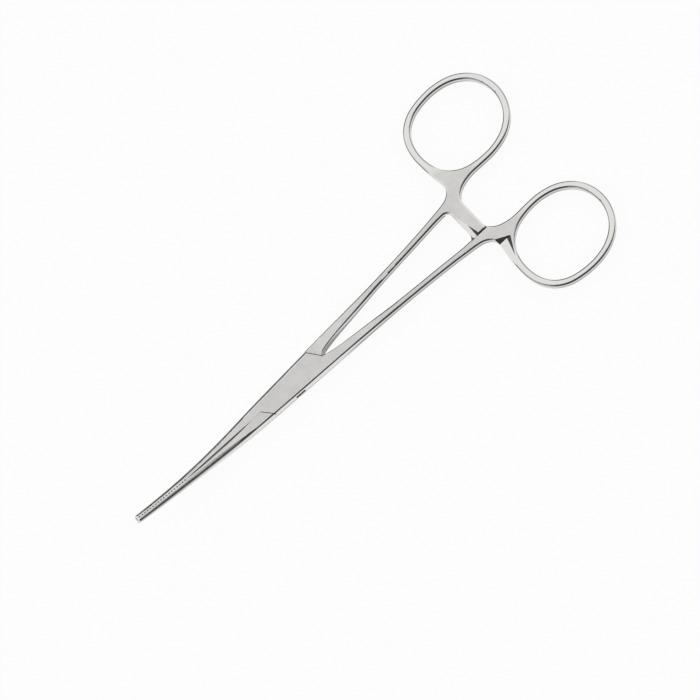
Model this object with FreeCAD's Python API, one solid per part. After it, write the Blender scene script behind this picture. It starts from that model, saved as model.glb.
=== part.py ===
"""Hemostat forceps: two forged halves with finger rings, ratchets, a box lock and curved jaws."""

import FreeCAD, Part
import math
import os

from FreeCAD import Vector

# Axes: +x from the pivot to the finger rings, +z up, z = 0 on the underside of the box lock.
# Each half is drawn with its shank and ring at +y and its jaw at -y; the box half is then mirrored.
# Driving dimensions, in millimetres and degrees.

# Distances along the instrument, from the pivot
jaw_reach = 51.0
jaw_middle = 35.0
jaw_root = 15.0
bend_start = 13.5
shank_start = 12.0
shank_middle = 20.0
level_start = 34.0
ratchet_distance = 58.1
neck_lead = 8.1
neck_length = 16.9

# Thicknesses
lock_thickness = 4.4
handle_thickness = 3.0
tip_thickness = 2.0

# Distances of the outer edge from the instrument's axis
tip_half_width = 1.0
jaw_middle_half_width = 1.4
jaw_root_half_width = 2.5
lock_half_width = 3.22
shank_middle_outer = 4.05
level_outer = 4.8
neck_outer = 6.05

# Distances of the shank's inner edge from the instrument's axis
notch_offset = 0.3
notch_run = 4.2
notch_rise_tongue = 0.62
notch_rise_box = 0.3
shank_start_inner = 0.7
shank_middle_inner = 1.8
level_inner = 3.15
neck_inner = 4.4
arm_root_offset = 4.78

# Jaws
jaw_bend_radius = 83.4
jaw_face_gap = 0.02
jaw_relief = 0.26
serration_pitch = 0.9
serration_depth = 0.16
groove_share = 0.72
serrated_length = 16.5
tip_rounding = 0.7
rounding_share = 0.57
jaw_taper = 1.2

# Box lock
front_shoulder = 10.1
front_shoulder_angle = 51.0
back_shoulder = 10.2
back_shoulder_angle = 54.5
shoulder_gap = 0.18
web_height = 1.1
web_margin = 0.2
tongue_thickness = 1.5
tongue_clearance = 0.03
tongue_direction = 68.0
hub_radius = 2.95
hub_clearance = 0.05
opening_angle = 45.0
swing_margin = 3.0
tongue_end_margin = 1.0
pin_radius = 1.2
pin_clearance = 0.03

# Finger rings
ring_offset = 19.45
ring_bore_x = 12.2
ring_bore_y = 10.3
ring_bar_x = 1.85
ring_bar_y = 1.6
ring_fullness_front = 2.35
ring_fullness_back = 2.12

# Ratchet arms
arm_width = 4.2
arm_reach = 5.05
arm_corner = 0.6
arm_root_radius = 1.6
arm_end_clearance = 0.15
arm_side_clearance = 1.1
crest_gap = 0.03
tooth_count = 3
tooth_pitch = 1.9
tooth_depth = 0.45
first_tooth_share = 0.6
arm_facet_width = 2.05
arm_facet_turn = 12.8
arm_facet_slope = 20.0

# Facets on the neck of the box half; their corner is placed from the ring's centre
facet_corner_x = 9.65
facet_corner_y = 8.7
neck_facet_direction = 27.5
neck_facet_length = 6.0
neck_facet_slope = 24.0
ring_facet_direction = 119.7
ring_facet_lead = 1.0
ring_facet_length = 12.0
ring_facet_slope = 12.0

# Edge rounding
handle_edge_radius = 0.5
lock_edge_radius = 0.35
box_jaw_edge_radius = 0.85
tongue_jaw_edge_radius = 0.4
jaw_roundness = 0.78
notch_edge_radius = 0.2
edge_margin = 0.01
outline_margin = 0.05

# Values that follow from the driving dimensions
mid_z = lock_thickness / 2
everything = 4 * jaw_reach
round_corner_share = 1 - math.sqrt(0.5)
arm_right = ratchet_distance + arm_width
arm_root = ratchet_distance - arm_root_radius
neck_start = ratchet_distance - neck_lead
ring_distance = ratchet_distance + neck_length
jaw_bend_angle = math.asin((jaw_reach - bend_start) / jaw_bend_radius)
x_axis = Vector(1, 0, 0)
y_axis = Vector(0, 1, 0)
z_axis = Vector(0, 0, 1)
pivot = Vector(0, 0, 0)


def polygon(points):
    return Part.Face(Part.makePolygon([Vector(*p) for p in points + points[:1]]))


def line(a, b):
    return Part.makeLine(Vector(*a), Vector(*b))


def arc(a, direction, b):
    """The arc that leaves a in a given direction and ends at b, or a line where that is enough."""
    chord = b - a
    turn = math.atan2(direction.cross(chord).z, direction.dot(chord))
    smallest_turn = 0.0003
    if abs(turn) < smallest_turn:
        return Part.makeLine(a, b)
    side = Vector(chord.y, -chord.x, 0) * math.tan(turn / 2)
    return Part.Arc(a, a + (chord + side) * 0.5, b).toShape()


def arc_pair(a, leaving, b, arriving):
    """Two arcs from a to b that meet smoothly, with the given directions at a and at b."""
    chord = b - a
    along = chord.dot(leaving + arriving)
    turning = 2 * (1 - leaving.dot(arriving))
    reach = chord.dot(chord) / (along + math.sqrt(along ** 2 + turning * chord.dot(chord)))
    meeting = (a + leaving * reach + b - arriving * reach) * 0.5
    return [arc(a, leaving, meeting), arc(b, arriving * -1, meeting)]


def guide(points, start, end):
    """A smooth curve through the points, with the directions it has at its two ends."""
    curve = Part.BSplineCurve()
    curve.interpolate(
        Points=[Vector(*p) for p in points],
        InitialTangent=Vector(*start).normalize(),
        FinalTangent=Vector(*end).normalize(),
        Scale=False,
    )
    return curve


def arcs_along(curve, stops):
    """Joined arcs that follow a curve and touch it at the given parameters."""
    edges = []
    for here, there in zip(stops, stops[1:]):
        leaving = curve.tangent(here)[0]
        arriving = curve.tangent(there)[0]
        edges += arc_pair(curve.value(here), leaving, curve.value(there), arriving)
    return edges


def parameter_at(curve, x):
    """The place on a curve that runs along x where it reaches x."""
    low, high = curve.FirstParameter, curve.LastParameter
    halvings = 60
    for _ in range(halvings):
        middle = (low + high) / 2
        if curve.value(middle).x < x:
            low = middle
        else:
            high = middle
    return (low + high) / 2


def stretch(curve, x_from, x_to):
    """Joined arcs along a guide from x_from to x_to."""
    shortest = 0.5
    inner = [k for k in curve.getKnots() if x_from + shortest < curve.value(k).x < x_to - shortest]
    return arcs_along(curve, [parameter_at(curve, x_from), *inner, parameter_at(curve, x_to)])


# Outer and inner edge of a half, as seen from above
shank_direction = (1.0, 0.1)
notch_direction = (1.0, 0.25)
outer_edge = guide(
    [
        (-jaw_reach, tip_half_width),
        (-jaw_middle, jaw_middle_half_width),
        (-jaw_root, jaw_root_half_width),
        (0.0, lock_half_width),
        (shank_middle, shank_middle_outer),
        (level_start, level_outer),
        (neck_start, neck_outer),
    ],
    (1.0, 0.02),
    shank_direction,
)
inner_edge = guide(
    [
        (shank_start, shank_start_inner),
        (shank_middle, shank_middle_inner),
        (level_start, level_inner),
        (neck_start, neck_inner),
        (arm_root, arm_root_offset),
    ],
    notch_direction,
    (1, 0),
)


def whole_stretch(curve, x_from, x_to):
    """One smooth edge along a guide from x_from to x_to."""
    return curve.toShape(parameter_at(curve, x_from), parameter_at(curve, x_to))


def outer_at(x):
    return outer_edge.value(parameter_at(outer_edge, x)).y


def inner_at(x):
    return inner_edge.value(parameter_at(inner_edge, x)).y


def plate(edges, thickness):
    """A flat plate of the given thickness about the middle plane, from the edges of its outline."""
    return level_slab(Part.Face(Part.Wire(Part.__sortEdges__(edges))), thickness)


def level_slab(face, thickness):
    face.translate(z_axis * (mid_z - thickness / 2))
    return face.extrude(z_axis * thickness)


def rounded(solid, radius, wanted):
    """Rounds the upper and lower edges whose middle the test picks."""
    picked = []
    for edge in solid.Edges:
        middle = edge.valueAt((edge.FirstParameter + edge.LastParameter) / 2)
        if abs(edge.tangentAt(edge.FirstParameter).z) < 0.5 and wanted(middle):
            picked.append(edge)
    return solid.makeFillet(radius, picked)


def on_outer_edge(point, side=1):
    return abs(side * point.y - outer_at(point.x)) < outline_margin


def quarter(centre, radius, start, sweep):
    """A quarter of a circle in plan, from the angle start, turning by sweep (90 or -90 degrees)."""
    points = []
    for share in (0.0, 0.5, 1.0):
        angle = math.radians(start + share * sweep)
        points.append(Vector(centre[0] + radius * math.cos(angle), centre[1] + radius * math.sin(angle)))
    return Part.Arc(*points).toShape()


def ring_arcs(reach_x, reach_y, first, last):
    """Arcs of a rounded oval about the ring's centre, clockwise between two angles in steps of 45.

    The oval is |x / reach_x| ** n + |y / reach_y| ** n = 1, with n larger on the side of the shank.
    """
    points = []
    directions = []
    step = 45
    for degrees in range(first, last - 1, -step):
        c = math.cos(math.radians(degrees))
        s = math.sin(math.radians(degrees))
        fullness = ring_fullness_front if c < -edge_margin else ring_fullness_back
        x = math.copysign(abs(c) ** (2 / fullness), c)
        y = math.copysign(abs(s) ** (2 / fullness), s)
        points.append(Vector(ring_distance + x * reach_x, ring_offset + y * reach_y))
        normal_x = math.copysign(abs(x) ** (fullness - 1), x) / reach_x
        normal_y = math.copysign(abs(y) ** (fullness - 1), y) / reach_y
        directions.append(Vector(normal_y, -normal_x, 0).normalize())
    edges = []
    for i in range(len(points) - 1):
        edges += arc_pair(points[i], directions[i], points[i + 1], directions[i + 1])
    return edges


def handle_end():
    """Level part of the shank, neck, finger ring and ratchet arm."""
    outer_x = ring_bore_x + ring_bar_x
    outer_y = ring_bore_y + ring_bar_y
    ring_front = ring_distance - outer_x
    ring_near = ring_offset - outer_y
    neck_run = ring_front - neck_start
    neck_rise = ring_offset - neck_outer
    neck_shares = ((0, 0), (0.6, 0.057), (0.94, 0.135), (1.055, 0.243), (1.057, 0.444), (1, 1))
    neck = guide(
        [(neck_start + x * neck_run, neck_outer + y * neck_rise) for x, y in neck_shares],
        shank_direction,
        (0, 1),
    )
    root_run = ring_distance - arm_right
    root_rise = ring_near - inner_at(neck_start)
    root_shares = ((1, 0), (0.28, 0.16), (0.095, 0.56), (0, 1.33))
    root = guide(
        [(arm_right + x * root_run, ring_near - y * root_rise) for x, y in root_shares],
        (-1, 0),
        (0, -1),
    )
    arm_low = arm_corner - arm_reach
    arm_high = arm_root_offset - arm_root_radius
    edges = [
        *stretch(outer_edge, level_start, neck_start),
        *arcs_along(neck, neck.getKnots()),
        *ring_arcs(outer_x, outer_y, 180, -90),
        *arcs_along(root, root.getKnots()),
        Part.makeLine(root.EndPoint, Vector(arm_right, arm_low)),
        quarter((arm_right - arm_corner, arm_low), arm_corner, 0, -90),
        line((arm_right - arm_corner, -arm_reach), (ratchet_distance + arm_corner, -arm_reach)),
        quarter((ratchet_distance + arm_corner, arm_low), arm_corner, 270, -90),
        line((ratchet_distance, arm_low), (ratchet_distance, arm_high)),
        quarter((arm_root, arm_high), arm_root_radius, 0, 90),
        *stretch(inner_edge, level_start, arm_root),
        line((level_start, inner_at(level_start)), (level_start, outer_at(level_start))),
    ]
    bore = plate(ring_arcs(ring_bore_x, ring_bore_y, 180, -180), 2 * handle_thickness)
    body = plate(edges, handle_thickness).cut(bore)
    return rounded(body, handle_edge_radius, lambda p: p.x > level_start + edge_margin)


def above_slope(x, y, direction, slope, before, after):
    """What lies above a plane through a line on the handle's upper face.

    The line runs in a given direction from before (x, y) to after it, and the plane falls away to its left.
    """
    block = Part.makeBox(before + after, after, after, Vector(-before, 0, 0))
    block.rotate(pivot, x_axis, -slope)
    block.rotate(pivot, z_axis, direction)
    block.translate(Vector(x, y, mid_z + handle_thickness / 2))
    return block


def neck_facets():
    """The two facets that meet in a corner on each face of the neck, one above and one below."""
    corner = (ring_distance - facet_corner_x, ring_offset - facet_corner_y)
    neck_facet = (neck_facet_direction, neck_facet_slope, neck_facet_length, ring_facet_length)
    ring_facet = (ring_facet_direction, ring_facet_slope, ring_facet_lead, ring_facet_length)
    upper = above_slope(*corner, *neck_facet).common(above_slope(*corner, *ring_facet))
    return [upper, upper.mirror(Vector(0, 0, mid_z), z_axis)]


def lock_handle(side):
    """The shank's root: a full-thickness plate that runs from the shank on into the lock."""
    notch = (back_shoulder + web_margin, -notch_offset * side)
    direction = (1.0, notch_rise_tongue) if side > 0 else (1.0, notch_rise_box)
    inside_x = back_shoulder - notch_run
    inside = (inside_x, notch[1] - (notch[0] - inside_x) * direction[1])
    shank_inner = (shank_start, inner_at(shank_start))
    edges = [
        whole_stretch(outer_edge, -shank_start, shank_start),
        line((shank_start, outer_at(shank_start)), shank_inner),
        guide([notch, shank_inner], direction, notch_direction).toShape(),
        line(notch, inside),
        line(inside, (-shank_start, inside[1])),
        line((-shank_start, inside[1]), (-shank_start, outer_at(-shank_start))),
    ]
    within = shank_start - edge_margin
    highest = inner_at(shank_start) + outline_margin
    body = plate(edges, lock_thickness)
    body = rounded(body, lock_edge_radius, lambda p: on_outer_edge(p) and abs(p.x) < within)
    return rounded(body, notch_edge_radius, lambda p: inside_x < p.x < within and p.y < highest)


def end_wire(solid, x):
    """Outline of the flat end of a solid that lies square to the instrument at x."""
    for face in solid.Faces:
        if all(abs(v.Point.x - x) < 1e-4 for v in face.Vertexes):
            return face.OuterWire
    raise ValueError(f"no end face at x = {x}")


def section(sides, half, radii, place):
    """A closed outline from y = sides[0] to sides[1] and from -half to half, with rounded corners.

    radii are those of the corners at the two sides, and 0 is a sharp corner.
    """
    inner, outer = sides
    turn = round_corner_share
    r_in, r_out = radii
    shapes = [
        Part.LineSegment(place(inner + r_in, -half), place(outer - r_out, -half)),
        Part.Arc(
            place(outer - r_out, -half),
            place(outer - r_out * turn, -half + r_out * turn),
            place(outer, -half + r_out),
        ),
        Part.LineSegment(place(outer, -half + r_out), place(outer, half - r_out)),
        Part.Arc(
            place(outer, half - r_out),
            place(outer - r_out * turn, half - r_out * turn),
            place(outer - r_out, half),
        ),
        Part.LineSegment(place(outer - r_out, half), place(inner + r_in, half)),
        Part.LineSegment(place(inner, half - r_in), place(inner, -half + r_in)),
    ]
    if r_in > 0:
        shapes.insert(
            5,
            Part.Arc(
                place(inner + r_in, half),
                place(inner + r_in * turn, half - r_in * turn),
                place(inner, half - r_in),
            ),
        )
        shapes.append(
            Part.Arc(
                place(inner, -half + r_in),
                place(inner + r_in * turn, -half + r_in * turn),
                place(inner + r_in, -half),
            )
        )
    return Part.Wire([s.toShape() for s in shapes])


def shank_section(x):
    """Rounded rectangle across the shank, thicker towards the lock."""
    share = (x - shank_start) / (level_start - shank_start)
    blend = share * share * (3 - 2 * share)
    half = (lock_thickness + blend * (handle_thickness - lock_thickness)) / 2
    inner_radius = notch_edge_radius + blend * (handle_edge_radius - notch_edge_radius)
    outer_radius = lock_edge_radius + blend * (handle_edge_radius - lock_edge_radius)
    return section(
        (inner_at(x), outer_at(x)),
        half,
        (inner_radius, outer_radius),
        lambda y, v: Vector(x, y, mid_z + v),
    )


def handle_body(side):
    """One side's shank, neck, ring and ratchet arm, drawn on into the lock."""
    root = lock_handle(side)
    end = handle_end()
    if side < 0:
        end = end.cut(neck_facets())
    steps = 4
    step = (level_start - shank_start) / steps
    wires = [end_wire(root, shank_start)]
    wires += [shank_section(shank_start + i * step) for i in range(1, steps)]
    wires.append(end_wire(end, level_start))
    shank = Part.makeLoft(wires, True, False)
    return root.fuse([shank, end])


def lock_jaw(edge_radius):
    """The jaw's root: a full-thickness plate at -y that runs from the jaw through the lock."""
    gap = jaw_face_gap
    slope = math.tan(math.radians(front_shoulder_angle))
    shoulder_top = (web_height / slope - front_shoulder, web_height)
    web_end = (back_shoulder - web_margin, web_height)
    notch = (back_shoulder + web_margin, notch_offset)
    edges = [
        whole_stretch(outer_edge, -bend_start, shank_start).mirror(pivot, y_axis),
        line((-bend_start, -outer_at(-bend_start)), (-bend_start, -gap)),
        line((-bend_start, -gap), (-front_shoulder, -gap)),
        line((-front_shoulder, -gap), shoulder_top),
        line(shoulder_top, web_end),
        line(web_end, notch),
        line(notch, (shank_start, notch[1])),
        line((shank_start, notch[1]), (shank_start, -outer_at(shank_start))),
    ]
    within = shank_start - edge_margin
    body = plate(edges, lock_thickness)
    return rounded(body, edge_radius, lambda p: on_outer_edge(p, -1) and -bend_start < p.x < within)


def jaw_section(share, root_radius):
    """D-shaped section across the jaw, square to its upward bend; share is 0 at the root, 1 at the tip."""
    angle = share * jaw_bend_angle
    half = (lock_thickness + share ** jaw_taper * (tip_thickness - lock_thickness)) / 2
    middle_x = -bend_start - jaw_bend_radius * math.sin(angle)
    middle_z = mid_z + jaw_bend_radius * (1 - math.cos(angle))
    outer = outer_at(middle_x)
    blend = min(share / rounding_share, 1.0)
    radius = root_radius + blend * (jaw_roundness * outer - root_radius)

    def place(y, v):
        return Vector(middle_x + v * math.sin(angle), -y, middle_z + v * math.cos(angle))

    return section((jaw_face_gap, outer), half, (0, radius), place)


def jaw_hollow():
    """The shallow hollow in the jaw's face between the lock and the serrated part."""
    half_length = (jaw_middle - bend_start) / 2
    radius = (half_length ** 2 + jaw_relief ** 2) / (2 * jaw_relief)
    hollow = Part.makeCylinder(radius, everything)
    hollow.translate(Vector(-bend_start - half_length, radius - jaw_relief - jaw_face_gap, -everything / 2))
    return hollow


def jaw_body(edge_radius):
    """The jaw at -y and its root in the lock."""
    root = lock_jaw(edge_radius)
    steps = 5
    wires = [end_wire(root, -bend_start)]
    wires += [jaw_section(i / steps, edge_radius) for i in range(1, steps + 1)]
    jaw = Part.makeLoft(wires, True, False).cut(jaw_hollow())
    return root.fuse(jaw)


def upright(face):
    """A plan face drawn up through the whole height."""
    face.translate(z_axis * -everything / 2)
    return face.extrude(z_axis * everything)


def shoulder_region(x, angle, side_y, ahead, gap=0.0):
    """All that lies ahead of (-x) or behind (+x) a shoulder line, which runs from (x, 0) to one side.

    The line leans towards the pivot on the side side_y; gap moves it away from the pivot.
    """
    lean = -math.copysign(1.0, x)
    direction = Vector(lean * math.cos(math.radians(angle)), side_y * math.sin(math.radians(angle)), 0)
    away = math.copysign(gap / math.sin(math.radians(angle)), x)
    foot = Vector(x + away, 0, 0)
    top = foot + direction * everything
    bottom = foot - direction * everything
    reach = -2 * everything if ahead else 2 * everything
    points = [tuple(bottom), tuple(top), (reach, top.y, 0), (reach, bottom.y, 0)]
    return upright(polygon(points))


def lock_disc(radius, thickness):
    disc = Part.makeCylinder(radius, thickness)
    disc.translate(z_axis * (mid_z - thickness / 2))
    return disc


def wedge(end_direction, sign, y_gap):
    """A sector from the instrument's axis to the given direction, below it (1) or above it (-1)."""
    reach = shank_start
    depth = 3 * lock_half_width
    run = depth / math.tan(math.radians(end_direction))
    points = [(0, 0), (-reach, 0), (-reach, -depth), (-run, -depth)]
    return polygon([(sign * x, sign * (y - y_gap)) for x, y in points])


def tongue():
    """The flat tongue between the jaw and the shank of the tongue half, round at the pivot."""
    reach = shank_start - tongue_end_margin
    upper = whole_stretch(outer_edge, -reach, reach)
    outline = plate(
        [
            upper,
            upper.mirror(pivot, y_axis),
            line((-reach, -outer_at(-reach)), (-reach, outer_at(-reach))),
            line((reach, -outer_at(reach)), (reach, outer_at(reach))),
        ],
        lock_thickness,
    )
    body = lock_disc(hub_radius, tongue_thickness)
    for sign in (1, -1):
        body = body.fuse(level_slab(wedge(tongue_direction, sign, hub_clearance), tongue_thickness))
    return body.common(outline)


def lock_slot():
    """The passage through the box half, wide enough for the tongue at every angle."""
    height = tongue_thickness + 2 * tongue_clearance
    slot = lock_disc(hub_radius + hub_clearance, height)
    direction = tongue_direction + opening_angle + swing_margin
    for sign in (1, -1):
        slot = slot.fuse(level_slab(wedge(direction, sign, 0.0), height))
    return slot


def at_bend(shape, angle):
    """Sets a shape, drawn level about the origin, at the given angle along the bend of the jaw."""
    shape.rotate(pivot, y_axis, math.degrees(angle))
    x = -bend_start - jaw_bend_radius * math.sin(angle)
    z = mid_z + jaw_bend_radius * (1 - math.cos(angle))
    shape.translate(Vector(x, 0, z))
    return shape


def serrations():
    """Grooves across the gripping face of the jaw, square to its bend."""
    count = int(serrated_length / serration_pitch)
    half = serration_pitch * groove_share / 2
    grooves = []
    for i in range(count):
        angle = jaw_bend_angle - (i + 1) * serration_pitch / jaw_bend_radius
        bottom = (0, -jaw_face_gap - serration_depth)
        groove = polygon([(-half, jaw_face_gap), (half, jaw_face_gap), bottom])
        groove.translate(z_axis * -lock_thickness)
        grooves.append(at_bend(groove.extrude(z_axis * 2 * lock_thickness), angle))
    return Part.makeCompound(grooves)


def corner_waste(radius):
    """What rounding takes off a square corner at the origin, of material at +x and +y."""
    turn = round_corner_share
    edges = [
        line((-radius, -radius), (radius, -radius)),
        line((radius, -radius), (radius, 0)),
        Part.Arc(Vector(radius, 0), Vector(radius * turn, radius * turn), Vector(0, radius)).toShape(),
        line((0, radius), (-radius, radius)),
        line((-radius, radius), (-radius, -radius)),
    ]
    return Part.Face(Part.Wire(edges))


def tip_cuts():
    """What is taken off the end of a jaw to round it, seen from above and from the side."""
    plan = corner_waste(tip_rounding)
    plan.translate(Vector(0, -tip_half_width, -lock_thickness))
    cuts = [plan.extrude(z_axis * 2 * lock_thickness)]
    for up in (1, -1):
        side = corner_waste(tip_rounding)
        side.rotate(pivot, x_axis, 90 * up)
        side.translate(Vector(0, -2 * tip_half_width, -up * tip_thickness / 2))
        cuts.append(side.extrude(y_axis * 4 * tip_half_width))
    return [at_bend(cut, jaw_bend_angle) for cut in cuts]


def ratchet_cut(level):
    """What is taken off a half so that its arm keeps only one level and has teeth on that face."""
    face_z = mid_z + level * crest_gap
    low_y = -2 * arm_reach
    low_z = face_z - handle_thickness if level > 0 else face_z
    pocket = Part.makeBox(
        arm_width + 2 * arm_side_clearance,
        arm_reach + arm_end_clearance - low_y,
        handle_thickness,
        Vector(ratchet_distance - arm_side_clearance, low_y, low_z),
    )
    teeth = []
    for i in range(tooth_count):
        y = -arm_reach + (i + first_tooth_share) * tooth_pitch
        left = ratchet_distance - arm_root_radius
        points = [
            (left, y, face_z - crest_gap / 2 * level),
            (left, y + tooth_pitch, face_z - crest_gap / 2 * level),
            (left, y, face_z + level * tooth_depth),
        ]
        teeth.append(polygon(points).extrude(x_axis * (arm_width + 2 * arm_root_radius)))
    facet = above_slope(
        ratchet_distance + arm_facet_width,
        -arm_reach,
        90 + arm_facet_turn,
        arm_facet_slope,
        arm_corner,
        arm_reach + arm_root_offset - arm_root_radius,
    )
    if level < 0:
        facet = facet.mirror(Vector(0, 0, mid_z), z_axis)
    return [pocket, *teeth, facet]


def pin_hole(radius):
    hole = Part.makeCylinder(radius, 2 * lock_thickness)
    hole.translate(z_axis * -lock_thickness / 2)
    return hole


def tongue_half():
    handle = handle_body(1).common(
        shoulder_region(back_shoulder, back_shoulder_angle, 1, ahead=False, gap=shoulder_gap)
    )
    jaw = jaw_body(tongue_jaw_edge_radius).common(
        shoulder_region(-front_shoulder, front_shoulder_angle, -1, ahead=True, gap=shoulder_gap)
    )
    half = handle.fuse([jaw, tongue()])
    half = half.cut([pin_hole(pin_radius + pin_clearance), serrations(), *tip_cuts(), *ratchet_cut(1)])
    return half.removeSplitter()


def box_half():
    handle = handle_body(-1).common(
        shoulder_region(-front_shoulder, front_shoulder_angle, 1, ahead=False)
    )
    jaw = jaw_body(box_jaw_edge_radius).common(
        shoulder_region(back_shoulder, back_shoulder_angle, -1, ahead=True)
    )
    half = handle.fuse(jaw)
    slot = lock_slot().mirror(pivot, y_axis)
    half = half.cut([pin_hole(pin_radius), slot, serrations(), *tip_cuts(), *ratchet_cut(-1)])
    return half.removeSplitter().mirror(pivot, y_axis)


def pivot_pin():
    return Part.makeCylinder(pin_radius, lock_thickness)


os.makedirs("parts", exist_ok=True)
for build in (box_half, tongue_half, pivot_pin):
    shape = build()
    name = build.__name__
    print(name, "solids", len(shape.Solids), "valid", shape.isValid(), "volume", round(shape.Volume, 1))
    shape.exportStep(f"parts/{name}.step")
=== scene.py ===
"""A hemostat forceps in satin and polished stainless steel, on a plain pale floor."""

import math

import bpy
from mathutils import Matrix, Vector

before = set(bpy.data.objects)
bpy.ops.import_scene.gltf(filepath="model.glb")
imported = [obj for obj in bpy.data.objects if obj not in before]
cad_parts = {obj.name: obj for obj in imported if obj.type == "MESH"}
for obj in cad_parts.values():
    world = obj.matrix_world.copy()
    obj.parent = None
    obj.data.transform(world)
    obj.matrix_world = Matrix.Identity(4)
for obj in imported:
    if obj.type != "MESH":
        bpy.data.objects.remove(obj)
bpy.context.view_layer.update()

# The frame: +x runs from the pivot to the finger rings, +z is up; the lock lies on the floor
mm = 0.001
lock_middle = 2.2 * mm
jaw_bend_start = 13.5 * mm
jaw_bend_radius = 83.4 * mm

# The photograph's view: where the pivot is in it, its scale, and how the instrument lies in it
frame_pixels = 700
pivot_pixel = (292.0, 385.2)
pixel_size = 0.25 * mm
image_angle = math.radians(43.35)
camera_tilt = math.radians(13.5)
camera_distance = 1.2
camera_reach = 20.0
sensor_width_mm = 36.0

# Steel: colours and roughness of the satin flats and of the polished edges
satin_colour = (0.835, 0.825, 0.805)
polish_colour = (0.9, 0.89, 0.87)
forged_satin_roughness = 0.36
pin_satin_roughness = 0.34
polish_roughness = 0.12

# Satin lies on faces this level, and on rounder ones at these distances past the start of the bend
satin_levels = (0.975, 0.997)
jaw_satin_extra = 0.1
jaw_satin_onset = (0.0, 8 * mm)
jaw_satin_end = (17 * mm, 26 * mm)

# The rings: where they begin, past the neck and beside it, and how much of their satin is polished
ring_start = (68 * mm, 74 * mm)
ring_side = (12.5 * mm, 16.5 * mm)
ring_polish = 0.9

# Painted reflection and painted shade: dark lines painted on the rounded edges where they would reflect
# dark surroundings, and on the underside: how dark, where they lie by slope and height, and how strong
# there
painted_reflection_tone = 0.22
ring_end_lines = 0.75
corner_slants = (0.35, 0.8)
wall_levels = (0.0, 0.4)
wall_share = 0.28
low_wall_share = 0.8
low_wall_heights = (2.1 * mm, 3.0 * mm)
low_wall_start = (12 * mm, 22 * mm)
under_levels = (-0.14, 0.0)
rim_share = 0.6
rim_onset = (0.0, 0.2)
rim_end = (0.45, 0.75)

# Painted reflection: dark darts painted on the facets of the neck and of the upper arm: corner,
# direction, width and length
painted_reflection_darts = (
    ((65.35 * mm, -10.75 * mm), -119.7, -1.3 * mm, 6.0 * mm),
    ((60.15 * mm, -5.05 * mm), 102.8, 1.15 * mm, 4.2 * mm),
)
painted_dart_share = 0.92
dart_taper = (0.0, 0.2)
dart_side = (-0.3, -0.2)
dart_start = (-0.3 * mm, -0.1 * mm)
facet_slopes = (-0.16, -0.1)

# The ground grain, finer across the instrument than along it, and the faint clouds of the finish
grain_scale = (900, 5200, 5200)
grain_detail = 3.0
grain_roughness = 0.10
grain_depth = 0.004 * mm
grain_strength = 0.5
cloud_scale = 140.0
cloud_detail = 8.0
cloud_roughness = 0.75
cloud_range = (0.3, 0.7)
cloud_contrast = 0.07
cloud_gloss = 0.04

# Painted shade: grooves and gaps narrower than this are painted darker inside
crevice_width = 4.0 * mm
crevice_range = (0.3, 0.85)
crevice_shade_tone = 0.06
crevice_samples = 8

# The floor: half its side, its place just under the instrument, and how white it is seen
floor_reach = 3.0
floor_drop = -0.02 * mm
floor_grey = 0.96
floor_whiteness = 0.95

# The studio: level of its walls, the dark opening on the viewer's side, and the flags beside it
tent_level = 1.05
opening_level = 0.12
opening_direction = (-0.2, -0.4, 0.88)
opening_angles = (25, 33)
flag_heights = (0.36, 0.56)
flag_sides = (0.55, 0.85)
flag_level = 0.04


def add_camera():
    """Looks down on the instrument, tilted about its long axis, with the pivot at its pixel."""
    ca, sa = math.cos(image_angle), math.sin(image_angle)
    ct, st = math.cos(camera_tilt), math.sin(camera_tilt)
    right = Vector((ca, -sa * ct, -sa * st))
    up = Vector((sa, ca * ct, ca * st))
    back = Vector((0, -st, ct))
    middle = frame_pixels / 2
    across = (middle - pivot_pixel[0]) * pixel_size
    rise = (pivot_pixel[1] - middle) * pixel_size
    target = Vector((0, 0, lock_middle)) + right * across + up * rise
    data = bpy.data.cameras.new("camera")
    data.sensor_width = sensor_width_mm
    data.lens = data.sensor_width * camera_distance / (frame_pixels * pixel_size)
    data.clip_end = camera_reach
    camera = bpy.data.objects.new("camera", data)
    place = Matrix((right, up, back)).transposed().to_4x4()
    place.translation = target + back * camera_distance
    camera.matrix_world = place
    bpy.context.scene.collection.objects.link(camera)
    bpy.context.scene.camera = camera


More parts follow.
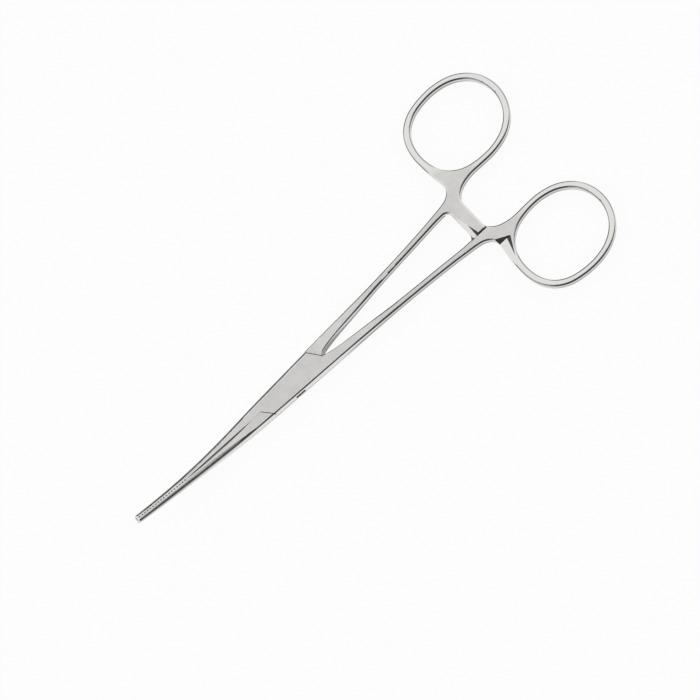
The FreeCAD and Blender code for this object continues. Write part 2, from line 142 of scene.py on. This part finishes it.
class Nodes:
    """Adds shader nodes by their short names and links sockets."""

    def __init__(self, tree):
        self.tree = tree
        self.tree.nodes.clear()

    def add(self, kind, **settings):
        node = self.tree.nodes.new("ShaderNode" + kind)
        for name, value in settings.items():
            setattr(node, name, value)
        return node

    def link(self, a, b):
        self.tree.links.new(a, b)

    def put(self, value, socket):
        """Sets a number or a colour on a socket, or links another node's output to it."""
        if isinstance(value, tuple):
            socket.default_value = (*value, 1)
        elif isinstance(value, (int, float)):
            socket.default_value = value
        else:
            self.link(value, socket)

    def math(self, operation, *values):
        node = self.add("Math", operation=operation)
        for value, socket in zip(values, node.inputs):
            self.put(value, socket)
        return node.outputs[0]

    def smooth(self, value, low, high, out_low=0.0, out_high=1.0):
        node = self.add("MapRange", interpolation_type="SMOOTHSTEP")
        self.link(value, node.inputs["Value"])
        node.inputs["From Min"].default_value = low
        node.inputs["From Max"].default_value = high
        node.inputs["To Min"].default_value = out_low
        node.inputs["To Max"].default_value = out_high
        return node.outputs["Result"]

    def split(self, vector):
        node = self.add("SeparateXYZ")
        self.link(vector, node.inputs[0])
        return node.outputs

    def noise(self, vector, scale, detail):
        node = self.add("TexNoise")
        self.link(vector, node.inputs["Vector"])
        node.inputs["Scale"].default_value = scale
        node.inputs["Detail"].default_value = detail
        return node

    def mix(self, kind, factor, a, b, **settings):
        """Mixes two colours or two numbers."""
        node = self.add("Mix", data_type=kind, **settings)
        for name, value in (("Factor", factor), ("A", a), ("B", b)):
            self.put(value, node.inputs[name])
        return node.outputs["Result"]

    def mix_shaders(self, factor, a, b):
        node = self.add("MixShader")
        for value, socket in zip((factor, a, b), node.inputs):
            self.link(value, socket)
        return node.outputs[0]

    def show(self, output_kind, shader):
        output = self.add(output_kind)
        self.link(shader, output.inputs["Surface"])


def scaled(colour, factor):
    return tuple(value * factor for value in colour)


def level_of(n, reach, normal):
    """1 on faces that lie level or, on the jaws, along their bend, 0 on walls and -1 underneath."""
    sine = n.math("DIVIDE", n.math("MAXIMUM", reach, 0.0), jaw_bend_radius)
    cosine = n.math("SQRT", n.math("SUBTRACT", 1.0, n.math("MULTIPLY", sine, sine)))
    along = n.math("MULTIPLY", normal["X"], sine)
    return n.math("MULTIPLY_ADD", normal["Z"], cosine, along)


def ring_area(n, place):
    """1 on the finger rings, 0 on the rest of the instrument."""
    beyond_neck = n.smooth(place["X"], *ring_start)
    beside_neck = n.smooth(n.math("ABSOLUTE", place["Y"]), *ring_side)
    return n.math("MAXIMUM", beyond_neck, beside_neck)


def satin_area(n, reach, level, ring):
    """1 on the level faces of the lock and handles and on the bent faces of the jaws, 0 on edges."""
    onset = n.smooth(reach, *jaw_satin_onset, 0.0, jaw_satin_extra)
    extra = n.math("MULTIPLY", onset, n.smooth(reach, *jaw_satin_end, 1.0, 0.0))
    flat = n.smooth(n.math("ADD", n.math("ABSOLUTE", level), extra), *satin_levels)
    return n.math("MULTIPLY", flat, n.math("MULTIPLY_ADD", ring, -ring_polish, 1.0))


def painted_reflection_area(n, place, normal, level, ring):
    """1 on the painted dark lines of the polished edges: painted reflection on upper corners, low walls
    and rims, and painted shade on the underside.
    """
    share = n.math("MULTIPLY", ring, ring_end_lines)
    lengthways = n.math("MULTIPLY", n.math("ABSOLUTE", normal["X"]), share)
    sideways = n.math("MAXIMUM", n.math("ABSOLUTE", normal["Y"]), lengthways)
    # Twice the product is 1 where the surface slopes at 45 degrees
    slant = n.math("MULTIPLY", n.math("MULTIPLY", sideways, n.math("ABSOLUTE", level)), 2.0)
    corner = n.smooth(slant, *corner_slants)
    # Painted reflection: the low walls are painted darker
    low = n.smooth(place["Z"], *low_wall_heights, low_wall_share, 0.0)
    low = n.math("MULTIPLY", low, n.smooth(place["X"], *low_wall_start))
    upright = n.smooth(level, *wall_levels, 1.0, 0.0)
    wall = n.math("MULTIPLY", upright, n.math("ADD", low, wall_share))
    # Painted shade: the underside is painted darker
    under = n.smooth(level, *under_levels, 1.0, 0.0)
    side = n.math("MULTIPLY", sideways, n.math("MAXIMUM", wall, under))
    rim = n.math("MULTIPLY", n.smooth(level, *rim_onset), n.smooth(level, *rim_end, rim_share, 0.0))
    return n.math("MAXIMUM", n.math("MAXIMUM", side, rim), corner)


def dart(n, place, corner, direction, width, length):
    """1 in a narrow triangle on a facet: it starts at a corner, as wide as given, and ends in a point.

    One side runs from the corner in the given direction, and the dart lies to the left of it or, where
    the width is negative, to the right.
    """
    ca, sa = math.cos(math.radians(direction)), math.sin(math.radians(direction))
    x = n.math("SUBTRACT", place["X"], corner[0])
    y = n.math("SUBTRACT", place["Y"], corner[1])
    along = n.math("MULTIPLY_ADD", x, ca, n.math("MULTIPLY", y, sa))
    across = n.math("MULTIPLY_ADD", y, ca, n.math("MULTIPLY", x, -sa))
    across = n.math("DIVIDE", across, width)
    reach = n.math("SUBTRACT", 1.0, n.math("DIVIDE", along, length))
    inside = n.smooth(n.math("SUBTRACT", reach, across), *dart_taper)
    beside = n.smooth(across, *dart_side)
    past_corner = n.smooth(along, *dart_start)
    return n.math("MULTIPLY", inside, n.math("MULTIPLY", beside, past_corner))


def painted_dart_area(n, place, normal):
    """1 in the darts of painted dark reflection, on facets that slope away from the rings."""
    painted_darts = 0.0
    for values in painted_reflection_darts:
        painted_darts = n.math("MAXIMUM", dart(n, place, *values), painted_darts)
    return n.math("MULTIPLY", painted_darts, n.smooth(normal["X"], *facet_slopes, 1.0, 0.0))


def find_areas(n, coordinates):
    """Where the steel is satin, where dark reflections and shade are painted on its polished edges, and
    where the painted darts are.
    """
    place = n.split(coordinates.outputs["Object"])
    normal = n.split(coordinates.outputs["Normal"])
    reach = n.math("SUBTRACT", n.math("MULTIPLY", place["X"], -1.0), jaw_bend_start)
    level = level_of(n, reach, normal)
    ring = ring_area(n, place)
    flat = satin_area(n, reach, level, ring)
    painted_edge_lines = painted_reflection_area(n, place, normal, level, ring)
    return flat, painted_edge_lines, painted_dart_area(n, place, normal)


def steel_colour(n, flat, painted_edge_lines, painted_darts, cloud):
    """Clouded satin on the flats and polish on the edges, with painted dark reflection on the lines and
    darts and painted shade in crevices.
    """
    # Painted reflection: the edge lines darken the polish colour
    polish_with_painted_lines = n.mix("RGBA", painted_edge_lines, polish_colour, scaled(polish_colour, painted_reflection_tone))
    dull, bright = (scaled(satin_colour, factor) for factor in (1 - cloud_contrast, 1 + cloud_contrast))
    satin = n.mix("RGBA", n.smooth(cloud, *cloud_range), dull, bright)
    colour = n.mix("RGBA", flat, polish_with_painted_lines, satin)
    # Painted shade: occlusion darkens grooves and gaps in the base colour
    crevice_occlusion = n.add("AmbientOcclusion", samples=crevice_samples)
    crevice_occlusion.inputs["Distance"].default_value = crevice_width
    open_air = n.smooth(crevice_occlusion.outputs["AO"], *crevice_range, crevice_shade_tone, 1.0)
    # Painted shade in crevices and painted reflection in the darts, multiplied into the colour
    painted_darkening = n.math("MULTIPLY", open_air, n.math("MULTIPLY_ADD", painted_darts, -painted_dart_share, 1.0))
    return n.mix("RGBA", 1.0, colour, painted_darkening, blend_type="MULTIPLY")


def steel_roughness(n, flat, grain, cloud, satin_roughness):
    ground = n.math("MULTIPLY_ADD", grain, grain_roughness, satin_roughness - grain_roughness / 2)
    gloss = n.math("MULTIPLY_ADD", cloud, cloud_gloss, polish_roughness - cloud_gloss / 2)
    return n.mix("FLOAT", flat, gloss, ground)


def grain_bump(n, flat, grain):
    bump = n.add("Bump")
    bump.inputs["Distance"].default_value = grain_depth
    n.link(n.math("MULTIPLY", flat, grain_strength), bump.inputs["Strength"])
    n.link(grain, bump.inputs["Height"])
    return bump.outputs[0]


def steel(name, satin_roughness):
    """Stainless steel: satin ground flats with a fine grain, and polished edges with painted dark
    reflection lines.
    """
    material = bpy.data.materials.new(name)
    material.use_nodes = True
    n = Nodes(material.node_tree)
    coordinates = n.add("TexCoord")
    flat, painted_edge_lines, painted_darts = find_areas(n, coordinates)
    stretch = n.add("Mapping")
    stretch.inputs["Scale"].default_value = grain_scale
    n.link(coordinates.outputs["Object"], stretch.inputs["Vector"])
    grain = n.noise(stretch.outputs[0], 1.0, grain_detail).outputs["Fac"]
    clouds = n.noise(coordinates.outputs["Object"], cloud_scale, cloud_detail)
    clouds.inputs["Roughness"].default_value = cloud_roughness
    cloud = clouds.outputs["Fac"]
    shader = n.add("BsdfPrincipled")
    shader.inputs["Metallic"].default_value = 1.0
    n.link(steel_colour(n, flat, painted_edge_lines, painted_darts, cloud), shader.inputs["Base Color"])
    n.link(steel_roughness(n, flat, grain, cloud, satin_roughness), shader.inputs["Roughness"])
    n.link(grain_bump(n, flat, grain), shader.inputs["Normal"])
    n.show("OutputMaterial", shader.outputs[0])
    return material


def dress():
    forged = steel("steel", forged_satin_roughness)
    turned = steel("pin steel", pin_satin_roughness)
    for name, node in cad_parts.items():
        node.data.materials.clear()
        node.data.materials.append(turned if name == "pivot_pin" else forged)


def floor_material():
    """Matt and pale to what lies on it, and nearly white where it is seen directly or in the steel."""
    material = bpy.data.materials.new("floor")
    material.use_nodes = True
    n = Nodes(material.node_tree)
    pale = n.add("BsdfDiffuse")
    n.put((floor_grey,) * 3, pale.inputs["Color"])
    white = n.add("Emission")
    ray = n.add("LightPath")
    seen = n.math("MAXIMUM", ray.outputs["Is Camera Ray"], ray.outputs["Is Glossy Ray"])
    share = n.math("MULTIPLY", seen, floor_whiteness)
    n.show("OutputMaterial", n.mix_shaders(share, pale.outputs[0], white.outputs[0]))
    return material


def add_floor():
    mesh = bpy.data.meshes.new("floor")
    corners = [(x * floor_reach, y * floor_reach, 0) for x, y in ((-1, -1), (1, -1), (1, 1), (-1, 1))]
    mesh.from_pydata(corners, [], [(0, 1, 2, 3)])
    mesh.materials.append(floor_material())
    floor = bpy.data.objects.new("floor", mesh)
    floor.location.z = floor_drop
    bpy.context.scene.collection.objects.link(floor)


def tent_light(n, direction):
    """How bright the tent is: dim in the viewer's opening and on the low flags at both sides."""
    towards = n.add("VectorMath", operation="DOT_PRODUCT")
    n.link(direction, towards.inputs[0])
    towards.inputs[1].default_value = Vector(opening_direction).normalized()
    inner, outer = (math.cos(math.radians(angle)) for angle in opening_angles)
    wall = n.smooth(towards.outputs["Value"], outer, inner, tent_level, opening_level)
    parts = n.split(direction)
    beside = n.smooth(n.math("ABSOLUTE", parts["Y"]), *flag_sides)
    low = n.smooth(parts["Z"], *flag_heights, 1.0, 0.0)
    flags = n.math("MULTIPLY", beside, low)
    return n.math("MULTIPLY", wall, n.math("MULTIPLY_ADD", flags, flag_level - 1.0, 1.0))


def add_studio():
    """A pale tent that lights the steel, and a white backdrop where the camera sees past the floor."""
    world = bpy.data.worlds.new("studio")
    bpy.context.scene.world = world
    world.use_nodes = True
    n = Nodes(world.node_tree)
    tent = n.add("Background")
    n.link(tent_light(n, n.add("TexCoord").outputs["Generated"]), tent.inputs["Strength"])
    backdrop = n.add("Background")
    n.put((1.0, 1.0, 1.0), backdrop.inputs["Color"])
    ray = n.add("LightPath")
    seen = ray.outputs["Is Camera Ray"]
    n.show("OutputWorld", n.mix_shaders(seen, tent.outputs[0], backdrop.outputs[0]))


add_camera()
dress()
add_floor()
add_studio()
bpy.context.scene.view_settings.view_transform = "Standard"
